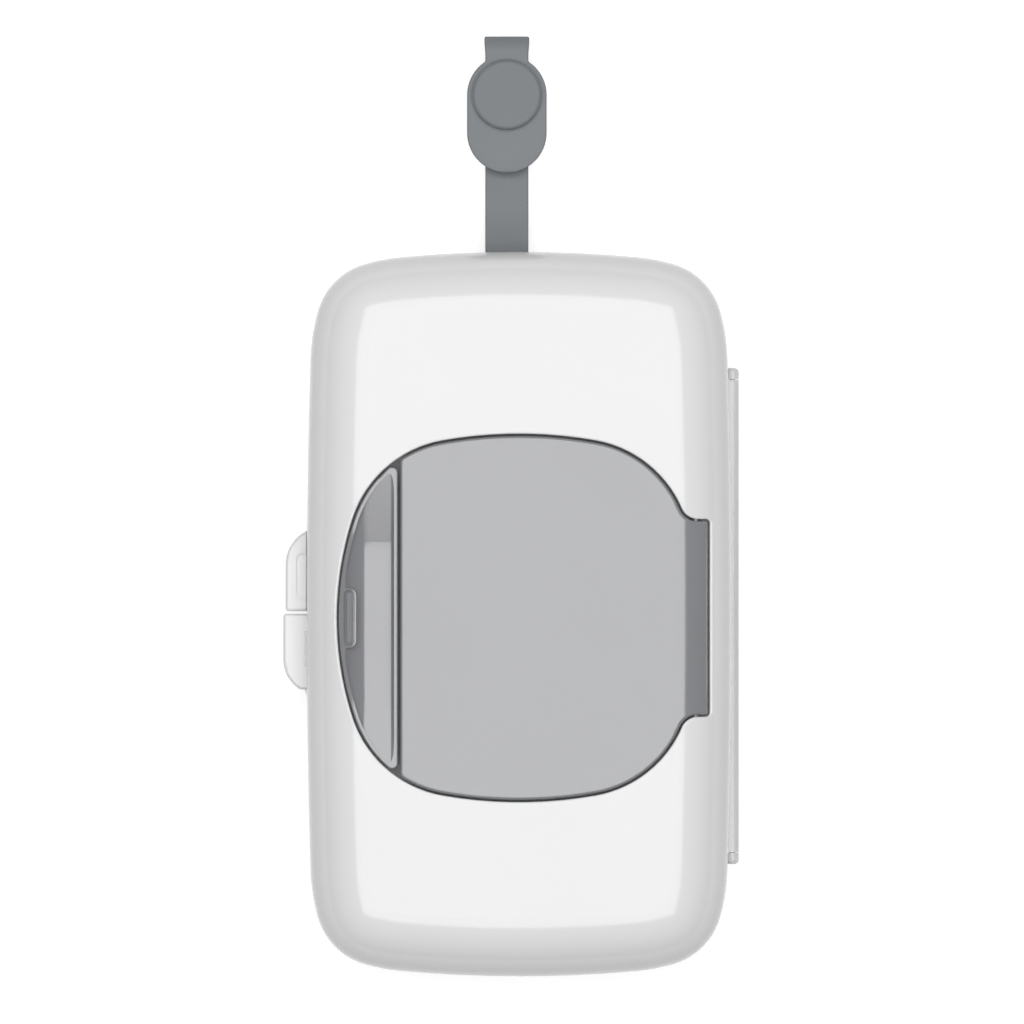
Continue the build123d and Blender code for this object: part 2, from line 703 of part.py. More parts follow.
def on_front_opening(edge):
    """True for an edge where the opening meets the case's outer surface."""
    middle = edge @ 0.5
    reach = LID_TAB_X + LID_GAP + LID_GAP / 4
    inside = abs(middle.X) < reach and abs(middle.Y - LID_Y) < LID_HALF_LENGTH + LID_GAP + LID_GAP / 4
    start = edge @ 0
    return inside and distance_under_front(middle) < 0.01 and distance_under_front(start) < 0.01


def distance_under_front(point):
    """How far a point near the opening lies under the front half's outer surface, near the long sides."""
    roll = wall_roll(FRONT_ROLL)
    edge_x = CASE_HALF_WIDTH - roll
    if abs(point.X) <= edge_x:
        return abs(FRONT_Z - point.Z)
    bow = SIDE_BOW_R - math.sqrt(SIDE_BOW_R**2 - point.Y**2)
    return abs(roll - math.hypot(max(abs(point.X) - edge_x + bow, 0), point.Z - FRONT_Z + roll))


# Dispensing well, wipe port and its ring
def button_ear_span():
    return BUTTON_LUG_INNER + BUTTON_LUG_LENGTH + PARTING_GAP


def make_dispensing_well():
    low_z = WELL_FLOOR_Z - WELL_FLOOR_THICKNESS
    tray = prism(lid_plan(LID_GAP + WELL_WALL), low_z, FRONT_Z)
    tray &= front_body(CASE_WALL + WELL_SEAT_CLEARANCE)
    tray -= prism(lid_plan(LID_GAP), WELL_FLOOR_Z, FRONT_Z)
    tray -= prism(port_plan(), low_z - OVERRUN, WELL_FLOOR_Z + OVERRUN)
    for side in (-1, 1):
        near = LID_TAB_HALF_LENGTH + LID_GAP - OVERRUN
        far = near + OVERRUN + LID_PIN_BOSS_LENGTH + TURNING_GAP
        half = LID_PIN_BOSS_R + TURNING_GAP / 2
        ends = sorted((LID_Y + side * near, LID_Y + side * far))
        low = (LID_AXIS_X - half, ends[0], LID_AXIS_Z - half)
        tray -= box_between(low, (LID_AXIS_X + half, ends[1], FRONT_Z))
    for side in (-1, 1):
        y = LID_Y + side * (button_ear_span() + BUTTON_EAR_LENGTH / 2)
        ear = rod_along_y(BUTTON_AXIS_X, y, BUTTON_AXIS_Z, BUTTON_LUG_R, BUTTON_EAR_LENGTH)
        low = (BUTTON_AXIS_X - BUTTON_LUG_R, y - BUTTON_EAR_LENGTH / 2, WELL_FLOOR_Z - BURY)
        high = (BUTTON_AXIS_X + BUTTON_LUG_R, y + BUTTON_EAR_LENGTH / 2, BUTTON_AXIS_Z)
        tray += ear + box_between(low, high)
    pin_half = button_ear_span() + BUTTON_EAR_LENGTH
    tray -= rod_along_y(BUTTON_AXIS_X, LID_Y, BUTTON_AXIS_Z, BUTTON_PIN_R + FIXED_FIT, 2 * pin_half + OVERRUN)
    return tray


def make_port_diaphragm():
    sheet = prism(port_plan(DIAPHRAGM_OVERLAP), WELL_FLOOR_Z, WELL_FLOOR_Z + DIAPHRAGM_THICKNESS)
    slot = Pos(PORT_X, LID_Y) * SlotOverall(DIAPHRAGM_SLOT_LENGTH, DIAPHRAGM_SLOT_WIDTH, rotation=90)
    return sheet - prism(slot, WELL_FLOOR_Z - OVERRUN, WELL_FLOOR_Z + DIAPHRAGM_THICKNESS + OVERRUN)


def make_port_ring():
    high_z = WELL_FLOOR_Z + PORT_RING_HEIGHT
    ring = prism(port_plan(PORT_RING_WIDTH), WELL_FLOOR_Z, high_z) - prism(port_plan(), WELL_FLOOR_Z, high_z)
    ring = fillet(ring.edges().group_by(Axis.Z)[-1], PORT_RING_ROUND)
    rebate_top = WELL_FLOOR_Z + DIAPHRAGM_THICKNESS
    return ring - prism(port_plan(DIAPHRAGM_OVERLAP + PORT_RING_CLEARANCE), WELL_FLOOR_Z, rebate_top)


# Lid
def lid_underside():
    return FRONT_Z - LID_THICKNESS


def lid_plate():
    """A plate with the case's own front surface: a rounded thin lip all round a thicker middle."""
    lip = prism(panel_plan(), PARTING_Z, FRONT_Z + OVERRUN) & front_body()
    lip = fillet(top_rim(lip), LID_EDGE_ROUND) - front_body(LID_LIP_THICKNESS)
    middle = prism(panel_plan(LID_LIP_WIDTH), PARTING_Z, FRONT_Z + OVERRUN)
    middle = (middle & front_body(LID_LIP_THICKNESS / 2)) - front_body(LID_THICKNESS)
    return lip + middle


def lid_root_reliefs():
    """Clearance under the lid beside its hinge tab, where it swings past the front wall."""
    reliefs = []
    for side in (-1, 1):
        near = LID_TAB_HALF_LENGTH + LID_GAP / 2
        length = LID_TAB_FLARE_R
        y = LID_Y + side * (near + length / 2)
        reliefs.append(rod_along_y(LID_AXIS_X, y, LID_AXIS_Z, LID_ROOT_RELIEF_R, length))
    return reliefs


def top_rim(slab):
    """The edges of a plug of the case's front, where its sides meet the curved top."""
    rim = []
    for edge in slab.edges():
        middle = edge @ 0.5
        touching = [f for f in slab.faces() if f.distance_to(middle) < 1e-4]
        flat_side = [f for f in touching if abs(f.normal_at(middle).Z) < 0.05]
        curved_top = [f for f in touching if f.normal_at(middle).Z > 0.2]
        if flat_side and curved_top:
            rim.append(edge)
    return rim


def lid_knuckles():
    """Two long hinge knuckles, left and right of the spring."""
    half = LID_TAB_HALF_LENGTH - PARTING_GAP
    knuckles = []
    for side in (-1, 1):
        length = half - LID_SPRING_BAY
        y = LID_Y + side * (LID_SPRING_BAY + length / 2)
        knuckle = rod_along_y(LID_AXIS_X, y, LID_AXIS_Z, LID_KNUCKLE_R, length)
        low = (LID_AXIS_X - LID_KNUCKLE_R, y - length / 2, LID_AXIS_Z)
        high = (LID_AXIS_X + LID_KNUCKLE_R, y + length / 2, FRONT_Z)
        knuckles.append((knuckle + box_between(low, high)) & front_body(LID_THICKNESS / 2))
    return knuckles


def seal_ring(grow, width, low_z, high_z):
    return prism(port_plan(grow + width), low_z, high_z) - prism(port_plan(grow), low_z, high_z)


def lid_catch():
    """A hooked rib under the seam edge of the lid."""
    x = SEAM_X + SEAM_GAP / 2 + LATCH_INSET
    low_z = lid_underside() - LATCH_DROP
    half = LATCH_WIDTH / 2
    rib = box_between(
        (x, LID_Y - half, low_z), (x + LATCH_THICKNESS, LID_Y + half, lid_underside() + BURY)
    )
    nose = box_between(
        (x - LATCH_NOSE, LID_Y - half, low_z), (x + BURY, LID_Y + half, low_z + LATCH_THICKNESS)
    )
    return rib + nose


def make_lid():
    lid = lid_plate()
    for relief in lid_root_reliefs():
        lid -= relief
    bay = rod_along_y(
        LID_AXIS_X,
        LID_Y,
        LID_AXIS_Z,
        LID_SPRING_INNER_R + LID_SPRING_WIRE + TURNING_GAP,
        2 * LID_SPRING_BAY,
    )
    for knuckle in lid_knuckles():
        lid += knuckle
    lid -= bay
    lid -= lid_spring_slot()
    low_z = lid_underside() - LID_SEAL_RIB_HEIGHT
    high_z = lid_underside() + BURY
    lid += seal_ring(LID_SEAL_INSET - LID_SEAL_RIB - FIXED_FIT, LID_SEAL_RIB, low_z, high_z)
    lid += seal_ring(LID_SEAL_INSET + LID_SEAL_WIDTH + FIXED_FIT, LID_SEAL_RIB, low_z, high_z)
    lid += lid_catch()
    lid -= rod_along_y(LID_AXIS_X, LID_Y, LID_AXIS_Z, LID_PIN_R + RUNNING_FIT, 4 * LID_TAB_HALF_LENGTH)
    return lid


def make_lid_seal():
    low_z = WELL_FLOOR_Z + PORT_RING_HEIGHT + LID_SEAL_GAP
    return seal_ring(LID_SEAL_INSET, LID_SEAL_WIDTH, low_z, lid_underside())


def make_lid_hinge_pin():
    return rod_along_y(LID_AXIS_X, LID_Y, LID_AXIS_Z, LID_PIN_R, 2 * lid_pin_span() - 2 * PIN_END_GAP)


# Release button
def dish_tool(grow=0.0):
    """The finger dish: one cross section, level in the middle and rising along a ramp to each tip."""
    right_x = SEAM_X - SEAM_GAP / 2 - DISH_RIM + grow
    bottom_z = FRONT_Z - DISH_DEPTH - grow
    side_r = DISH_SIDE_R + grow
    corner_r = DISH_CORNER_R + grow
    top_z = bottom_z + side_r
    left = ThreePointArc(
        (DISH_SIDE_X - side_r, top_z),
        (DISH_SIDE_X - side_r * math.sqrt(0.5), top_z - side_r * math.sqrt(0.5)),
        (DISH_SIDE_X, bottom_z),
    )
    floor = Line((DISH_SIDE_X, bottom_z), (right_x - corner_r, bottom_z))
    corner = ThreePointArc(
        (right_x - corner_r, bottom_z),
        (right_x - corner_r * (1 - math.sqrt(0.5)), bottom_z + corner_r * (1 - math.sqrt(0.5))),
        (right_x, bottom_z + corner_r),
    )
    back = Polyline((right_x, bottom_z + corner_r), (right_x, top_z), (DISH_SIDE_X - side_r, top_z))
    section = Plane.XZ.offset(-LID_Y) * make_face([left, floor, corner, back])
    rise = (DISH_END_Y - DISH_FLAT_HALF) * math.tan(math.radians(DISH_RAMP))
    line = FilletPolyline(
        (LID_Y, bottom_z),
        (LID_Y + DISH_FLAT_HALF, bottom_z),
        (LID_Y + DISH_END_Y, bottom_z + rise),
        radius=DISH_BEND_R,
    )
    half = sweep(section, path=Plane.YZ * line)
    tool = half + mirror(half, about=Plane.XZ.offset(-LID_Y))
    return tool & prism(button_plan(DISH_RIM - grow), BUTTON_BOTTOM_Z - 5 * OVERRUN, FRONT_Z + 10 * OVERRUN)


def platform(inset=0.0):
    """The raised land around the hinge pill, left out of the dish."""
    size = 2 * PLATFORM_HALF_LENGTH
    inner = size - 2 * inset
    plan = Pos(PLATFORM_X - size / 2, LID_Y) * RectangleRounded(inner, inner, PLATFORM_CORNER_R - inset)
    return prism(plan, BUTTON_BOTTOM_Z - 5 * OVERRUN, FRONT_Z + 10 * OVERRUN)


def pill_groove():
    """A moat around the pill, cut down from the curved surface."""
    moat = SlotOverall(PILL_LENGTH + 2 * PILL_GROOVE_WIDTH, PILL_WIDTH + 2 * PILL_GROOVE_WIDTH, rotation=90)
    pill = SlotOverall(PILL_LENGTH, PILL_WIDTH, rotation=90)
    ring = prism(Pos(PILL_X, LID_Y) * (moat - pill), BUTTON_BOTTOM_Z, FRONT_Z + OVERRUN)
    return ring - front_body(PILL_GROOVE_DEPTH)


def button_lugs():
    lugs = []
    for side in (-1, 1):
        y = LID_Y + side * (BUTTON_LUG_INNER + BUTTON_LUG_LENGTH / 2)
        lug = rod_along_y(BUTTON_AXIS_X, y, BUTTON_AXIS_Z, BUTTON_LUG_R, BUTTON_LUG_LENGTH)
        low = (BUTTON_AXIS_X - BUTTON_LUG_R, y - BUTTON_LUG_LENGTH / 2, BUTTON_AXIS_Z)
        high = (BUTTON_AXIS_X + BUTTON_LUG_R, y + BUTTON_LUG_LENGTH / 2, FRONT_Z)
        lugs.append((lug + box_between(low, high)) & front_body(BUTTON_SKIN - BURY / 2))
    return lugs


def button_ear_pocket(side):
    """Room in the button for one of the tray's ears and the pillar under it."""
    y = LID_Y + side * (button_ear_span() + BUTTON_EAR_LENGTH / 2)
    length = BUTTON_EAR_LENGTH + TURNING_GAP
    radius = BUTTON_LUG_R + TURNING_GAP
    low = (BUTTON_AXIS_X - radius, y - length / 2, BUTTON_BOTTOM_Z - OVERRUN)
    high = (BUTTON_AXIS_X + radius, y + length / 2, BUTTON_AXIS_Z)
    return rod_along_y(BUTTON_AXIS_X, y, BUTTON_AXIS_Z, radius, length) + box_between(low, high)


def make_release_button():
    button = prism(button_plan(), BUTTON_BOTTOM_Z, FRONT_Z + OVERRUN) & front_body()
    button = fillet(top_rim(button), BUTTON_EDGE_ROUND)
    hollow = prism(button_plan(BUTTON_SKIRT), BUTTON_BOTTOM_Z - OVERRUN, FRONT_Z) & front_body(BUTTON_SKIN)
    skin = dish_tool(DISH_SKIN) - platform(PLATFORM_WALL)
    button -= hollow - skin
    button -= dish_tool() - platform()
    button -= pill_groove()
    for side in (-1, 1):
        button -= button_ear_pocket(side)
    for lug in button_lugs():
        button += lug
    bore_r = BUTTON_PIN_R + RUNNING_FIT
    button -= rod_along_y(BUTTON_AXIS_X, LID_Y, BUTTON_AXIS_Z, bore_r, 2 * LID_HALF_LENGTH)
    return button


def make_button_hinge_pin():
    half = button_ear_span() + BUTTON_EAR_LENGTH
    return rod_along_y(BUTTON_AXIS_X, LID_Y, BUTTON_AXIS_Z, BUTTON_PIN_R, 2 * half)


# Coil springs
def biarc(start, start_dir, stop, stop_dir):
    """Two tangent arcs between two points with given directions."""
    chord = stop - start
    both = start_dir + stop_dir
    spread = 2 * (1 - start_dir.dot(stop_dir))
    along = chord.dot(both)
    reach = (-along + math.sqrt(along**2 + spread * chord.dot(chord))) / spread
    middle = (start + stop + (start_dir - stop_dir) * reach) / 2
    middle_dir = (stop - stop_dir * reach - start - start_dir * reach).normalized()
    return [TangentArc(start, middle, tangent=start_dir), TangentArc(middle, stop, tangent=middle_dir)]


def coil_path(radius, pitch, start_angle, turns):
    """A coil about Z, in steps of about a quarter turn with two arcs each."""
    steps = round(turns * 4)
    step_angle = 2 * math.pi * turns / steps
    lift = pitch / (2 * math.pi * radius)
    points = []
    headings = []
    for i in range(steps + 1):
        angle = math.radians(start_angle) + i * step_angle
        points.append(Vector(radius * math.cos(angle), radius * math.sin(angle), pitch * turns * i / steps))
        headings.append(Vector(-math.sin(angle), math.cos(angle), lift).normalized())
    edges = []
    for i in range(steps):
        edges += biarc(points[i], headings[i], points[i + 1], headings[i + 1])
    return edges, points, headings


def wire_tube(edges, start, direction, radius):
    section = Plane(origin=start, z_dir=direction) * Circle(radius)
    return sweep(section, path=Wire(edges))


def make_button_spring():
    """Compression coil between the well's floor and the button's dish."""
    radius = BUTTON_SPRING_R - BUTTON_SPRING_WIRE / 2
    low_z = WELL_FLOOR_Z + BUTTON_SPRING_WIRE / 2
    high_z = FRONT_Z - DISH_DEPTH - DISH_SKIN - BUTTON_SPRING_WIRE / 2
    pitch = (high_z - low_z - 2 * BUTTON_SPRING_END_GAP) / BUTTON_SPRING_TURNS
    edges, points, headings = coil_path(radius, pitch, 0, BUTTON_SPRING_TURNS)
    print("button spring gap between turns", round(pitch - BUTTON_SPRING_WIRE, 2))
    coil = wire_tube(edges, points[0], headings[0], BUTTON_SPRING_WIRE / 2)
    return Pos(BUTTON_SPRING_X, LID_Y, low_z + BUTTON_SPRING_END_GAP) * coil


def lid_spring_turns():
    return LID_SPRING_TURNS + (90 - LID_SPRING_START) / 360


def make_lid_spring():
    """Torsion coil round the lid's pin, with one leg on the well's floor and one under the lid."""
    radius = LID_SPRING_INNER_R + LID_SPRING_WIRE / 2
    edges, points, headings = coil_path(radius, LID_SPRING_PITCH, LID_SPRING_START, lid_spring_turns())
    print("lid spring gap between turns", round(LID_SPRING_PITCH - LID_SPRING_WIRE, 2))
    drop = LID_AXIS_Z + points[0].Y - WELL_FLOOR_Z - LID_SPRING_WIRE / 2 - LID_SPRING_FOOT_GAP
    foot = points[0] - headings[0] * (drop / headings[0].Y)
    tip = points[-1] + headings[-1] * LID_SPRING_LEG
    path = [Line(foot, points[0])] + edges + [Line(points[-1], tip)]
    coil = wire_tube(path, foot, headings[0], LID_SPRING_WIRE / 2)
    return Pos(LID_AXIS_X, LID_Y + lid_spring_half(), LID_AXIS_Z) * Rot(90, 0, 0) * coil


def lid_spring_half():
    return LID_SPRING_PITCH * lid_spring_turns() / 2


def lid_spring_slot():
    """Groove in the lid's underside for the spring's upper leg."""
    y = LID_Y - lid_spring_half()
    top = LID_AXIS_Z + LID_SPRING_INNER_R + LID_SPRING_WIRE + TURNING_GAP
    half = LID_SPRING_WIRE / 2 + TURNING_GAP
    low_x = LID_AXIS_X - LID_SPRING_LEG - 2 * TURNING_GAP
    low = (low_x, y - LID_SPRING_LEG * LID_SPRING_LEAN - half, WELL_FLOOR_Z)
    return box_between(low, (LID_AXIS_X, y + half, top))


# Carrying strap
def strap_strip():
    """Side view of the strap's rear leg, drawn as (Y, Z): from its pin down to the resting face."""
    floor_z = STRAP_THICKNESS / 2
    corners = [
        (STRAP_PIN_Y, STRAP_PIN_Z),
        (STRAP_EXIT_Y, STRAP_EXIT_Z),
        (STRAP_LAND_Y, floor_z),
        (STRAP_FOLD_Y, floor_z),
    ]
    line = FilletPolyline(*corners, radius=(STRAP_EXIT_BEND_R, STRAP_LAND_BEND_R))
    return trace(line, line_width=STRAP_THICKNESS)


def across_strap(face):
    """Stand a face drawn as (Y, Z) up and extrude it across the strap's width."""
    plane = Plane(origin=(STRAP_X - STRAP_WIDTH / 2, 0, 0), x_dir=(0, 1, 0), z_dir=(1, 0, 0))
    return extrude(plane * face, amount=STRAP_WIDTH)


def fold_radius():
    return STRAP_THICKNESS + STRAP_LEG_GAP / 2


def make_strap():
    outer = fold_radius()
    ring = Circle(outer) - Circle(outer - STRAP_THICKNESS)
    half_ring = ring & (Pos(outer, 0) * Rectangle(2 * outer, 2 * outer))
    fold = Pos(STRAP_FOLD_Y, outer) * half_ring
    band = across_strap(strap_strip() + fold)
    edges = [e for e in band.edges() if abs(abs((e @ 0.5).X - STRAP_X) - STRAP_WIDTH / 2) < 0.01]
    long_edges = [e for e in edges if e.length > STRAP_THICKNESS + STRAP_EDGE_ROUND]
    band = fillet(long_edges, STRAP_EDGE_ROUND)
    band += rod_along_x(STRAP_X, STRAP_PIN_Y, STRAP_PIN_Z, STRAP_EYE_R, STRAP_WIDTH)
    band -= rod_along_x(STRAP_X, STRAP_PIN_Y, STRAP_PIN_Z, STRAP_PIN_R + RUNNING_FIT, 2 * STRAP_WIDTH)
    band -= standing_rod(STRAP_X, SNAP_Y, 0, POST_STEM_R + SNAP_FIT, STRAP_THICKNESS)
    band -= standing_rod(STRAP_X, SNAP_Y, 0, POST_HEAD_R + SNAP_FIT, POST_HEAD_HEIGHT)
    return band


def make_strap_anchor_pin():
    return rod_along_x(STRAP_X, STRAP_PIN_Y, STRAP_PIN_Z, STRAP_PIN_R, STRAP_PIN_LENGTH - 2 * PIN_END_GAP)


def flap_low_z():
    return STRAP_THICKNESS + STRAP_LEG_GAP


def make_strap_flap():
    """The oval end of the strap, which folds back over the rear leg."""
    centres = (SNAP_Y, FLAP_FAR_Y)
    oval = SlotCenterToCenter(centres[0] - centres[1], 2 * FLAP_END_R, rotation=90)
    plan = Pos(STRAP_X, (centres[0] + centres[1]) / 2) * oval
    plate = prism(plan, flap_low_z(), flap_low_z() + FLAP_THICKNESS)
    rims = plate.edges().group_by(Axis.Z)
    plate = fillet(rims[0] + rims[-1], STRAP_EDGE_ROUND)
    root_y = STRAP_FOLD_Y - FLAP_HINGE_GAP
    root = box_between(
        (STRAP_X - STRAP_WIDTH / 2, SNAP_Y, flap_low_z()),
        (STRAP_X + STRAP_WIDTH / 2, root_y, flap_low_z() + STRAP_THICKNESS),
    )
    plate += root
    hole_r = CAP_STEM_R + SNAP_FIT
    hole_low = flap_low_z() - OVERRUN
    return plate - standing_rod(STRAP_X, SNAP_Y, hole_low, hole_r, FLAP_THICKNESS + 2 * OVERRUN)


# Snap fastener
def make_snap_cap():
    """Round button on the flap, with a stem through it."""
    top = flap_low_z() + FLAP_THICKNESS
    cap = standing_rod(STRAP_X, SNAP_Y, top, CAP_R, CAP_HEIGHT)
    cap = fillet(cap.edges().group_by(Axis.Z)[-1], CAP_EDGE_ROUND)
    return cap + standing_rod(STRAP_X, SNAP_Y, flap_low_z(), CAP_STEM_R, FLAP_THICKNESS + BURY)


def make_snap_socket():
    low_z = flap_low_z() - SOCKET_HEIGHT
    socket = standing_rod(STRAP_X, SNAP_Y, low_z, SOCKET_R, SOCKET_HEIGHT)
    return socket - standing_rod(STRAP_X, SNAP_Y, low_z, SOCKET_BORE_R, STUD_HEIGHT + TURNING_GAP)


def make_snap_stud():
    low = STRAP_THICKNESS
    flange = standing_rod(STRAP_X, SNAP_Y, low, STUD_FLANGE_R, STUD_FLANGE_HEIGHT)
    stud = standing_rod(STRAP_X, SNAP_Y, low, STUD_R, STUD_FLANGE_HEIGHT + STUD_HEIGHT)
    stud = fillet(stud.edges().group_by(Axis.Z)[-1], STUD_ROUND)
    return flange + stud


def make_snap_post():
    head = standing_rod(STRAP_X, SNAP_Y, 0, POST_HEAD_R, POST_HEAD_HEIGHT)
    return head + standing_rod(STRAP_X, SNAP_Y, 0, POST_STEM_R, STRAP_THICKNESS)


MAKERS = {
    "back_shell": make_back_shell,
    "front_shell": make_front_shell,
    "case_seal": make_case_seal,
    "case_hinge_pin": make_case_hinge_pin,
    "dispensing_well": make_dispensing_well,
    "port_diaphragm": make_port_diaphragm,
    "port_ring": make_port_ring,
    "lid": make_lid,
    "lid_seal": make_lid_seal,
    "lid_hinge_pin": make_lid_hinge_pin,
    "lid_spring": make_lid_spring,
    "release_button": make_release_button,
    "button_hinge_pin": make_button_hinge_pin,
    "button_spring": make_button_spring,
    "strap": make_strap,
    "strap_flap": make_strap_flap,
    "strap_anchor_pin": make_strap_anchor_pin,
    "snap_cap": make_snap_cap,
    "snap_socket": make_snap_socket,
    "snap_stud": make_snap_stud,
    "snap_post": make_snap_post,
}

for name, make in MAKERS.items():
    save(make(), name)
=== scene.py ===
# %% [markdown]
# # A travel wipes dispenser, dressed in Blender
# The case, its lid, its button and its hinges come from CAD as fixed solids.
# This lesson gives each one the finish of the real thing:
# glossy moulded plastic, soft silicone and drawn steel wire.
# It also models the carrying strap again as soft bands, lofted round the place where it folds.

# %% Open the frame
import json
import math

import bmesh
import bpy
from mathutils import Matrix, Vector


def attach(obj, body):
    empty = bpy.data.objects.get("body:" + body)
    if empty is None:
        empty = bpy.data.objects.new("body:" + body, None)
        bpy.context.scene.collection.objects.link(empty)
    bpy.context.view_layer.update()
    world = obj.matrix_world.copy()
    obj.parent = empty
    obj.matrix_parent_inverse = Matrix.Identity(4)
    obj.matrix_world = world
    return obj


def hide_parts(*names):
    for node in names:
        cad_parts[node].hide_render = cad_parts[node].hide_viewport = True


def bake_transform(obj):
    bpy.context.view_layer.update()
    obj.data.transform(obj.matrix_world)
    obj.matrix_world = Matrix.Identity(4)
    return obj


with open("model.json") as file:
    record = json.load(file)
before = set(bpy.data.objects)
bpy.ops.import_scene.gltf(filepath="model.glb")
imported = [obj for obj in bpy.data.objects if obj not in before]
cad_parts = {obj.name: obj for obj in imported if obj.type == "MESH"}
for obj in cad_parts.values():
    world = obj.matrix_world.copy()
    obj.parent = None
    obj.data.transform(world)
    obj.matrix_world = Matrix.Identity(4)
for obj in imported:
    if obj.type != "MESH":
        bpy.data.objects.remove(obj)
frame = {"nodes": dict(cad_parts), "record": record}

MM = 0.001


for name in ("Cube", "Light", "Camera"):
    left_over = bpy.data.objects.get(name)
    if left_over is not None:
        bpy.data.objects.remove(left_over)
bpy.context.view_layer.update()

# %% [markdown]
# ## The camera
# The photograph looks straight down on the case from far away, so its sides hardly splay.
# A long lens far above gives the same view. The picture is square, so one width fixes the lens.

# %% Camera straight above
VIEW_WIDTH = 268.9 * MM
VIEW_CENTRE = (-1.84 * MM, 26.8 * MM)
CASE_RIM_Z = 30 * MM
CAMERA_RISE = 4.0
SENSOR_WIDTH = 36.0
CAMERA_REACH = 50.0


def make_camera():
    data = bpy.data.cameras.new("front_view")
    data.sensor_width = SENSOR_WIDTH
    data.lens = SENSOR_WIDTH * CAMERA_RISE / VIEW_WIDTH
    data.clip_end = CAMERA_REACH
    camera = bpy.data.objects.new("front_view", data)
    camera.location = (*VIEW_CENTRE, CASE_RIM_Z + CAMERA_RISE)
    bpy.context.collection.objects.link(camera)
    bpy.context.scene.camera = camera
    return camera


camera = make_camera()
print("lens", round(camera.data.lens), "mm")

# %% [markdown]
# ## Shared shader groups
# Moulded plastic is never perfectly even. Three small effects are enough for every material here:
# a grain in its height, a slow drift in its tone, and a wandering gloss with a few handling marks.
# Each is a node group, built once, and each material gives it its own sizes.

# %% Helpers: start a group, add a noise, add a sum
def start_group(name, inputs, outputs):
    group = bpy.data.node_groups.new(name, "ShaderNodeTree")
    for label, kind, value in inputs:
        socket = group.interface.new_socket(label, in_out="INPUT", socket_type=kind)
        socket.default_value = value
    for label, kind in outputs:
        group.interface.new_socket(label, in_out="OUTPUT", socket_type=kind)
    source = group.nodes.new("NodeGroupInput")
    target = group.nodes.new("NodeGroupOutput")
    return group, source, target


def noise(group, place, scale, detail):
    texture = group.nodes.new("ShaderNodeTexNoise")
    texture.inputs["Detail"].default_value = detail
    group.links.new(place, texture.inputs["Vector"])
    if isinstance(scale, (int, float)):
        texture.inputs["Scale"].default_value = scale
    else:
        group.links.new(scale, texture.inputs["Scale"])
    return texture.outputs[0]


def even_noise(group, scale, detail):
    """A noise in the piece's own metres, as large along every axis."""
    place = group.nodes.new("ShaderNodeTexCoord").outputs["Object"]
    return noise(group, place, scale, detail)


def streaky_noise(group, stretch, detail):
    """A noise in the piece's own metres, with so many cells to the metre along each axis."""
    place = group.nodes.new("ShaderNodeTexCoord").outputs["Object"]
    mapping = group.nodes.new("ShaderNodeMapping")
    mapping.inputs["Scale"].default_value = stretch
    group.links.new(place, mapping.inputs["Vector"])
    return noise(group, mapping.outputs["Vector"], 1.0, detail)


def math_node(group, operation, first, second):
    node = group.nodes.new("ShaderNodeMath")
    node.operation = operation
    for socket, value in zip(node.inputs, (first, second)):
        if isinstance(value, (int, float)):
            socket.default_value = value
        else:
            group.links.new(value, socket)
    return node.outputs[0]


# %% Grain: fine mould texture over a slow swell
def make_grain_group():
    inputs = [
        ("Grain Scale", "NodeSocketFloat", 3000.0),
        ("Swell Scale", "NodeSocketFloat", 40.0),
        ("Swell Share", "NodeSocketFloat", 0.5),
    ]
    group, source, target = start_group("mould_grain", inputs, [("Height", "NodeSocketFloat")])
    fine = even_noise(group, source.outputs["Grain Scale"], 3)
    swell = even_noise(group, source.outputs["Swell Scale"], 1)
    lifted = math_node(group, "MULTIPLY", swell, source.outputs["Swell Share"])
    height = math_node(group, "ADD", fine, lifted)
    group.links.new(height, target.inputs["Height"])
    return group


grain_group = make_grain_group()
print("made", grain_group.name)

# %% Tone: the colour wanders a little and turns in specks
def make_tone_group():
    inputs = [
        ("Color", "NodeSocketColor", (0.5, 0.5, 0.5, 1)),
        ("Other Color", "NodeSocketColor", (0.4, 0.4, 0.4, 1)),
        ("Drift Scale", "NodeSocketFloat", 30.0),
        ("Speck Scale", "NodeSocketFloat", 1500.0),
        ("Speck Share", "NodeSocketFloat", 0.2),
    ]
    group, source, target = start_group("tone_drift", inputs, [("Color", "NodeSocketColor")])
    drift = even_noise(group, source.outputs["Drift Scale"], 4)
    speck = even_noise(group, source.outputs["Speck Scale"], 2)
    speckled = math_node(group, "MULTIPLY", speck, source.outputs["Speck Share"])
    share = math_node(group, "ADD", drift, speckled)
    mix = group.nodes.new("ShaderNodeMix")
    mix.data_type = "RGBA"
    group.links.new(share, mix.inputs["Factor"])
    group.links.new(source.outputs["Color"], mix.inputs[6])
    group.links.new(source.outputs["Other Color"], mix.inputs[7])
    group.links.new(mix.outputs[2], target.inputs["Color"])
    return group


tone_group = make_tone_group()
print("made", tone_group.name)

# %% Gloss: roughness that wanders, with faint rubbed streaks from handling
NOISE_MIDDLE = 0.5
STREAK_CELLS = (900, 90, 400)
STREAK_SPARSENESS = 6.0


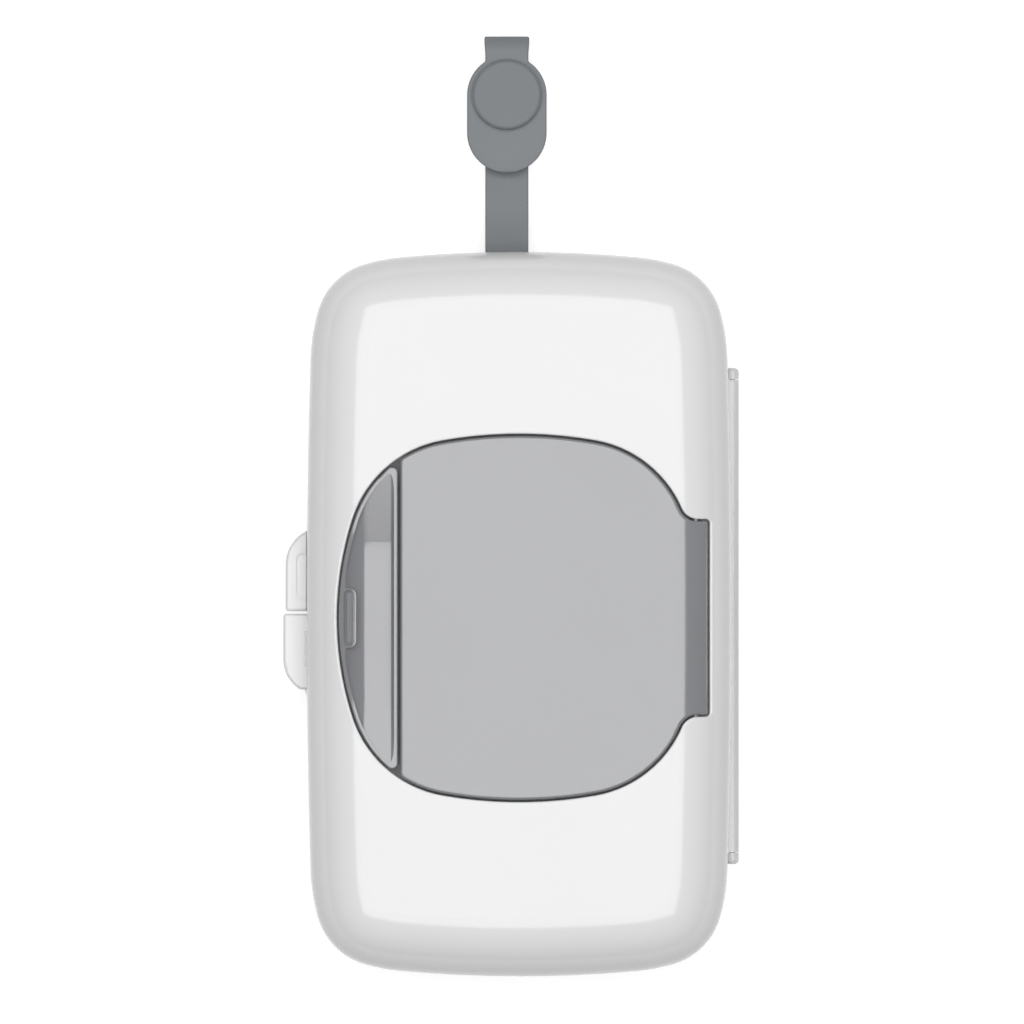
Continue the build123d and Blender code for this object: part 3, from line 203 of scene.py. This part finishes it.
def make_gloss_group():
    inputs = [
        ("Roughness", "NodeSocketFloat", 0.3),
        ("Spread", "NodeSocketFloat", 0.08),
        ("Drift Scale", "NodeSocketFloat", 60.0),
        ("Rubbing", "NodeSocketFloat", 0.1),
    ]
    group, source, target = start_group("handled_gloss", inputs, [("Roughness", "NodeSocketFloat")])
    drift = even_noise(group, source.outputs["Drift Scale"], 4)
    centred = math_node(group, "SUBTRACT", drift, NOISE_MIDDLE)
    spread = math_node(group, "MULTIPLY", centred, source.outputs["Spread"])
    streaks = streaky_noise(group, STREAK_CELLS, 6)
    sparse = math_node(group, "POWER", streaks, STREAK_SPARSENESS)
    rubbed = math_node(group, "MULTIPLY", sparse, source.outputs["Rubbing"])
    base = math_node(group, "ADD", source.outputs["Roughness"], spread)
    total = math_node(group, "ADD", base, rubbed)
    group.links.new(total, target.inputs["Roughness"])
    return group


gloss_group = make_gloss_group()
print("made", gloss_group.name)

# %% [markdown]
# ## One recipe for plastics and rubbers
# All the plastics and rubbers here are a coloured body under a clear surface.
# They differ in colour, in how sharply they mirror the lamp, and in the size and height of their grain.
# A function that fills in one Principled shader keeps them alike where they should be.

# %% Helpers: start a material, use a group in it, turn a height into relief
def start_material(name):
    material = bpy.data.materials.new(name)
    material.use_nodes = True
    tree = material.node_tree
    return material, tree, tree.nodes["Principled BSDF"]


def add_group(tree, group, values):
    node = tree.nodes.new("ShaderNodeGroup")
    node.node_tree = group
    for label, value in values.items():
        node.inputs[label].default_value = value
    return node


def add_relief(tree, shader, height, distance):
    relief = tree.nodes.new("ShaderNodeBump")
    relief.inputs["Distance"].default_value = distance
    tree.links.new(height, relief.inputs["Height"])
    tree.links.new(relief.outputs["Normal"], shader.inputs["Normal"])


# %% Build one moulded material
def moulded(name, color, other, roughness, shine, grain, bump, speck=0.2):
    material, tree, shader = start_material(name)
    shader.inputs["Specular IOR Level"].default_value = shine
    tones = {"Color": (*color, 1), "Other Color": (*other, 1), "Speck Share": speck}
    tone = add_group(tree, tone_group, tones)
    tree.links.new(tone.outputs["Color"], shader.inputs["Base Color"])
    gloss = add_group(tree, gloss_group, {"Roughness": roughness})
    tree.links.new(gloss.outputs["Roughness"], shader.inputs["Roughness"])
    grains = add_group(tree, grain_group, {"Grain Scale": grain})
    add_relief(tree, shader, grains.outputs["Height"], bump)
    return material


# %% The finishes of this case
shell_white = moulded(
    "shell_white", (0.85, 0.85, 0.853), (0.825, 0.825, 0.83),
    roughness=0.14, shine=0.5, grain=2600, bump=0.0015 * MM,
)
smoke_grey = moulded(
    "smoke_grey", (0.272, 0.275, 0.289), (0.256, 0.259, 0.273),
    roughness=0.13, shine=1.0, grain=2600, bump=0.0015 * MM,
)
tray_grey = moulded(
    "tray_grey", (0.60, 0.61, 0.62), (0.55, 0.56, 0.57),
    roughness=0.42, shine=0.5, grain=1800, bump=0.02 * MM,
)
strap_silicone = moulded(
    "strap_silicone", (0.240, 0.256, 0.270), (0.214, 0.230, 0.244),
    roughness=0.62, shine=0.4, grain=2200, bump=0.012 * MM, speck=0.5,
)
snap_grey = moulded(
    "snap_grey", (0.206, 0.220, 0.233), (0.188, 0.202, 0.215),
    roughness=0.5, shine=0.35, grain=2400, bump=0.006 * MM,
)
membrane_grey = moulded(
    "membrane_grey", (0.30, 0.31, 0.32), (0.25, 0.26, 0.27),
    roughness=0.7, shine=0.3, grain=1500, bump=0.02 * MM,
)
seal_black = moulded(
    "seal_black", (0.09, 0.09, 0.10), (0.06, 0.06, 0.07),
    roughness=0.6, shine=0.4, grain=1500, bump=0.02 * MM,
)
plastics = (shell_white, smoke_grey, tray_grey, snap_grey)
rubbers = (strap_silicone, membrane_grey, seal_black)
print("plastics", [finish.name for finish in plastics], "rubbers", [finish.name for finish in rubbers])

# %% [markdown]
# ## Drawn steel
# The hinge pins and the spring wire are drawn through a die, which leaves fine lines along the wire.
# Stretched noise, long along the pin and narrow across it, gives both the lines and the uneven gloss.

# %% Build the steel
STEEL_DARKER = 0.8
STEEL_ROUGHNESS = 0.5
STEEL_ROUGHNESS_SPREAD = 0.35
DRAWN_LINE_DEPTH = 0.004 * MM


def drawn_steel(name, tint, stretch):
    material, tree, shader = start_material(name)
    shader.inputs["Metallic"].default_value = 1.0
    darker = tuple(STEEL_DARKER * v for v in tint)
    tone = add_group(tree, tone_group, {"Color": (*tint, 1), "Other Color": (*darker, 1)})
    tree.links.new(tone.outputs["Color"], shader.inputs["Base Color"])
    lines = streaky_noise(tree, stretch, 3)
    uneven = math_node(tree, "MULTIPLY", lines, STEEL_ROUGHNESS_SPREAD)
    rough = math_node(tree, "ADD", uneven, STEEL_ROUGHNESS)
    tree.links.new(rough, shader.inputs["Roughness"])
    add_relief(tree, shader, lines, DRAWN_LINE_DEPTH)
    return material


pin_steel = drawn_steel("pin_steel", (0.62, 0.62, 0.63), (9000, 200, 9000))
spring_steel = drawn_steel("spring_steel", (0.55, 0.55, 0.56), (5000, 5000, 5000))
print("steels", pin_steel.name, spring_steel.name)

# %% [markdown]
# ## Finish the CAD solids
# Every solid keeps its shape and gets its finish by its material slot.

# %% Give each CAD node its finish
FINISH_OF_SLOT = {
    "shell": shell_white,
    "smoke_panel": smoke_grey,
    "well": tray_grey,
    "membrane": membrane_grey,
    "seal": seal_black,
    "strap_rubber": strap_silicone,
    "snap_grey": snap_grey,
    "pin": pin_steel,
    "spring": spring_steel,
}
for part in frame["record"]["subparts"]:
    solid = frame["nodes"][part["node"]]
    finish = FINISH_OF_SLOT[part["material_slot"]]
    if not solid.material_slots:
        solid.data.materials.append(finish)
    for place in solid.material_slots:
        place.material = finish

# %% [markdown]
# ## The carrying strap
# The real strap is one soft moulded band.
# It leaves the case, lies down, folds back over itself and ends in an oval.
# A solid can't bend, so the band is lofted here from flat rounded sections along its own line.
# It is made in two lengths. The rear leg rides with the strap.
# The fold and the oval are the second length, and they keep the shape they are lofted in.

# %% Sizes of the strap, as in the CAD
STRAP_X = -3.2 * MM
STRAP_HALF_WIDTH = 5.7 * MM
STRAP_THICKNESS = 2.2 * MM
STRAP_EDGE_ROUND = 0.55 * MM
FOLD_Y = 148.0 * MM
FOLD_FLARE = 0.25 * MM
FOLD_HOLLOW = 0.35 * MM
LEG_GAP = 4.6 * MM
FLAP_LOW_Z = STRAP_THICKNESS + LEG_GAP
FLAP_THICKNESS = 2.4 * MM
OVAL_R = 10.5 * MM
OVAL_NEAR_Y = 136.9 * MM
OVAL_FAR_Y = 126.9 * MM


# %% The band's cross section
CORNER_STEPS = 4
MOST_ROUNDING = 0.98


def section(half_width, half_thickness):
    """Points of a rounded rectangle, as (across, up), anticlockwise."""
    corner = min(STRAP_EDGE_ROUND, half_width * MOST_ROUNDING, half_thickness * MOST_ROUNDING)
    points = []
    for quarter, (sx, sz) in enumerate(((1, 1), (-1, 1), (-1, -1), (1, -1))):
        for step in range(CORNER_STEPS + 1):
            angle = math.pi / 2 * (quarter + step / CORNER_STEPS)
            across = sx * (half_width - corner) + corner * math.cos(angle)
            up = sz * (half_thickness - corner) + corner * math.sin(angle)
            points.append((across, up))
    return points


print("points in one section", len(section(STRAP_HALF_WIDTH, STRAP_THICKNESS / 2)))


# %% Loft a band through sections that stand across a line in the (y, z) plane
def loft_band(name, stations):
    """stations are (y, z, heading angle, half width, half thickness)."""
    mesh = bmesh.new()
    rings = []
    for y, z, angle, half_width, half_thickness in stations:
        ring = []
        for across, up in section(half_width, half_thickness):
            place = (STRAP_X + across, y - up * math.sin(angle), z + up * math.cos(angle))
            ring.append(mesh.verts.new(place))
        rings.append(ring)
    for first, second in zip(rings, rings[1:]):
        count = len(first)
        for i in range(count):
            j = (i + 1) % count
            mesh.faces.new((first[i], first[j], second[j], second[i]))
    mesh.faces.new(rings[0])
    mesh.faces.new(reversed(rings[-1]))
    bmesh.ops.recalc_face_normals(mesh, faces=mesh.faces)
    data = bpy.data.meshes.new(name)
    mesh.to_mesh(data)
    mesh.free()
    for face in data.polygons:
        face.use_smooth = True
    band = bpy.data.objects.new(name, data)
    bpy.context.collection.objects.link(band)
    data.materials.append(strap_silicone)
    return band


# %% Walk along straight runs joined by arcs
def run(points, start, stop, steps):
    """Add evenly spaced (y, z, heading) points from start to stop."""
    angle = math.atan2(stop[1] - start[1], stop[0] - start[0])
    for i in range(steps + 1):
        t = i / steps
        points.append((start[0] + (stop[0] - start[0]) * t, start[1] + (stop[1] - start[1]) * t, angle))


def bend(points, centre, radius, start, stop, steps):
    """Add points along an arc from heading start to heading stop, in radians."""
    turn = 1 if stop > start else -1
    for i in range(1, steps + 1):
        angle = start + (stop - start) * i / steps
        y = centre[0] + turn * radius * math.sin(angle)
        z = centre[1] - turn * radius * math.cos(angle)
        points.append((y, z, angle))


def corner_arc(points, before, corner, after, radius, steps):
    """Round one corner of the line with an arc, and return where the arc ends."""
    first = (Vector(corner) - Vector(before)).normalized()
    second = (Vector(after) - Vector(corner)).normalized()
    start = math.atan2(first.y, first.x)
    stop = math.atan2(second.y, second.x)
    cut = radius * math.tan(abs(stop - start) / 2)
    begin = Vector(corner) - first * cut
    end = Vector(corner) + second * cut
    turn = 1 if stop > start else -1
    centre = (begin.x - turn * radius * math.sin(start), begin.y + turn * radius * math.cos(start))
    run(points, points[-1][:2], (begin.x, begin.y), 6)
    bend(points, centre, radius, start, stop, steps)
    return (end.x, end.y)


# %% The rear leg, from inside its pocket down to the table and along it
LEG_START = (93.2 * MM, 10.2 * MM)
LEG_EXIT = (96.8 * MM, 9.7 * MM)
LEG_LAND = (125.0 * MM, STRAP_THICKNESS / 2)
LEG_END = (FOLD_Y, STRAP_THICKNESS / 2)
LEG_EXIT_BEND_R = 9.0 * MM
LEG_LAND_BEND_R = 40.0 * MM


def make_rear_leg():
    line = [(*LEG_START, math.atan2(LEG_EXIT[1] - LEG_START[1], LEG_EXIT[0] - LEG_START[0]))]
    corner_arc(line, LEG_START, LEG_EXIT, LEG_LAND, LEG_EXIT_BEND_R, 8)
    landed = corner_arc(line, LEG_EXIT, LEG_LAND, LEG_END, LEG_LAND_BEND_R, 16)
    run(line, landed, LEG_END, 12)
    stations = [(y, z, angle, STRAP_HALF_WIDTH, STRAP_THICKNESS / 2) for y, z, angle in line]
    return loft_band("strap_rear_leg", stations)


rear_leg = make_rear_leg()
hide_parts("strap")
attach(rear_leg, "strap")
print("rear leg faces", len(rear_leg.data.polygons))

# %% The oval's half width at a given place along the strap
def oval_half_width(y):
    if y >= OVAL_NEAR_Y:
        reach = y - OVAL_NEAR_Y
        round_part = math.sqrt(max(OVAL_R**2 - reach**2, 0))
        return max(round_part, STRAP_HALF_WIDTH)
    if y >= OVAL_FAR_Y:
        return OVAL_R
    return math.sqrt(max(OVAL_R**2 - (OVAL_FAR_Y - y) ** 2, 0))


# %% The fold, from the end of the rear leg round to the flap
FOLD_STEPS = 28
FOLD_R = STRAP_THICKNESS / 2 + LEG_GAP / 2


def fold_stations():
    half = STRAP_THICKNESS / 2
    turn = []
    bend(turn, (FOLD_Y, STRAP_THICKNESS + LEG_GAP / 2), FOLD_R, 0.0, math.pi, FOLD_STEPS)
    stations = [(FOLD_Y, half, 0.0, STRAP_HALF_WIDTH, half)]
    for y, z, angle in turn:
        width = STRAP_HALF_WIDTH + FOLD_FLARE * math.sin(angle)
        stations.append((y, z, angle, width, half))
    return stations


print("sections round the fold", len(fold_stations()))

# %% The flap, which thickens past the fold and ends in a rounded oval
NECK_STEP = 0.35 * MM
NECK_STEPS = 31
SIDE_STEPS = 6
TIP_STEPS = 28
THICKENING_LENGTH = 6 * MM


def flap_places():
    neck = [FOLD_Y - i * NECK_STEP for i in range(1, NECK_STEPS + 1)]
    sides = [OVAL_NEAR_Y - (OVAL_NEAR_Y - OVAL_FAR_Y) * i / SIDE_STEPS for i in range(SIDE_STEPS + 1)]
    tip = [OVAL_FAR_Y - OVAL_R * math.sin(math.pi / 2 * i / TIP_STEPS) for i in range(1, TIP_STEPS)]
    return neck + sides + tip


def flap_stations():
    stations = []
    half = STRAP_THICKNESS / 2
    for y in flap_places():
        grown = min((FOLD_Y - y) / THICKENING_LENGTH, 1.0)
        middle = half + (FLAP_THICKNESS / 2 - half) * grown
        thick = middle
        end_gap = y - (OVAL_FAR_Y - OVAL_R)
        if end_gap < STRAP_EDGE_ROUND:
            short = STRAP_EDGE_ROUND - end_gap
            thick += math.sqrt(max(STRAP_EDGE_ROUND**2 - short**2, 0)) - STRAP_EDGE_ROUND
        stations.append((y, FLAP_LOW_Z + middle, math.pi, oval_half_width(y), thick))
    return stations


print("sections along the flap", len(flap_stations()))


def make_fold_and_flap():
    band = loft_band("strap_fold_and_flap", fold_stations() + flap_stations())
    reach = FOLD_R + STRAP_THICKNESS / 2
    for vertex in band.data.vertices:
        past = max(vertex.co.y - FOLD_Y, 0) / reach
        across = (vertex.co.x - STRAP_X) / STRAP_HALF_WIDTH
        vertex.co.y -= FOLD_HOLLOW * past * max(1 - across**2, 0)
    return band


fold_and_flap = make_fold_and_flap()
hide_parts("strap_flap")
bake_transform(fold_and_flap)
print("fold and flap faces", len(fold_and_flap.data.polygons))

# %% [markdown]
# ## Floor and light
# The photograph was taken on pure white under one large soft lamp, whose mirror image lies on the lid.
# A big area lamp above the camera gives that mirror image with its soft edges.
# A weak even sky fills the shadows. The floor glows, so it is white to the camera,
# and its own grey still takes the contact shadow.

# %% The floor
FLOOR_HALF = 4.0
FLOOR_DROP = 0.05 * MM
FLOOR_GREY = 0.58
FLOOR_GLOW = 0.68


def make_floor():
    mesh = bmesh.new()
    bmesh.ops.create_grid(mesh, x_segments=4, y_segments=4, size=FLOOR_HALF)
    data = bpy.data.meshes.new("floor")
    mesh.to_mesh(data)
    mesh.free()
    floor = bpy.data.objects.new("floor", data)
    floor.location.z = -FLOOR_DROP
    bpy.context.collection.objects.link(floor)
    return floor


def floor_paint():
    material, tree, shader = start_material("floor_paint")
    shader.inputs["Base Color"].default_value = (FLOOR_GREY, FLOOR_GREY, FLOOR_GREY, 1)
    shader.inputs["Roughness"].default_value = 1.0
    shader.inputs["Specular IOR Level"].default_value = 0.0
    path = tree.nodes.new("ShaderNodeLightPath")
    seen = math_node(tree, "MAXIMUM", path.outputs["Is Camera Ray"], path.outputs["Is Glossy Ray"])
    seen = math_node(tree, "MAXIMUM", seen, path.outputs["Is Transmission Ray"])
    glow = math_node(tree, "MULTIPLY", seen, FLOOR_GLOW)
    shader.inputs["Emission Color"].default_value = (1, 1, 1, 1)
    tree.links.new(glow, shader.inputs["Emission Strength"])
    return material


floor = make_floor()
floor.data.materials.append(floor_paint())
print("floor half width", FLOOR_HALF, "m, just under the case")

# %% The lamp and the sky
LAMP_RISE = 2.0
LAMP_SIZE = (1.87, 2.07)
LAMP_SHIFT_Y = 0.26
LAMP_RADIANCE = 3.3
SKY_STRENGTH = 0.16


def make_lamp():
    data = bpy.data.lights.new("soft_lamp", "AREA")
    data.shape = "RECTANGLE"
    data.size, data.size_y = LAMP_SIZE
    data.energy = LAMP_RADIANCE * math.pi * LAMP_SIZE[0] * LAMP_SIZE[1]
    lamp = bpy.data.objects.new("soft_lamp", data)
    lamp.location = (0, LAMP_SHIFT_Y, LAMP_RISE)
    lamp.visible_camera = False
    bpy.context.collection.objects.link(lamp)
    return lamp


def make_sky():
    world = bpy.data.worlds.new("studio")
    world.use_nodes = True
    tree = world.node_tree
    background = tree.nodes["Background"]
    background.inputs["Color"].default_value = (1, 1, 1, 1)
    path = tree.nodes.new("ShaderNodeLightPath")
    seen = math_node(tree, "MAXIMUM", path.outputs["Is Camera Ray"], path.outputs["Is Transmission Ray"])
    lift = math_node(tree, "MULTIPLY", seen, 1.0 - SKY_STRENGTH)
    strength = math_node(tree, "ADD", lift, SKY_STRENGTH)
    tree.links.new(strength, background.inputs["Strength"])
    bpy.context.scene.world = world


lamp = make_lamp()
make_sky()
bpy.context.scene.view_settings.view_transform = "Standard"
print("lamp power", round(lamp.data.energy, 1), "W")
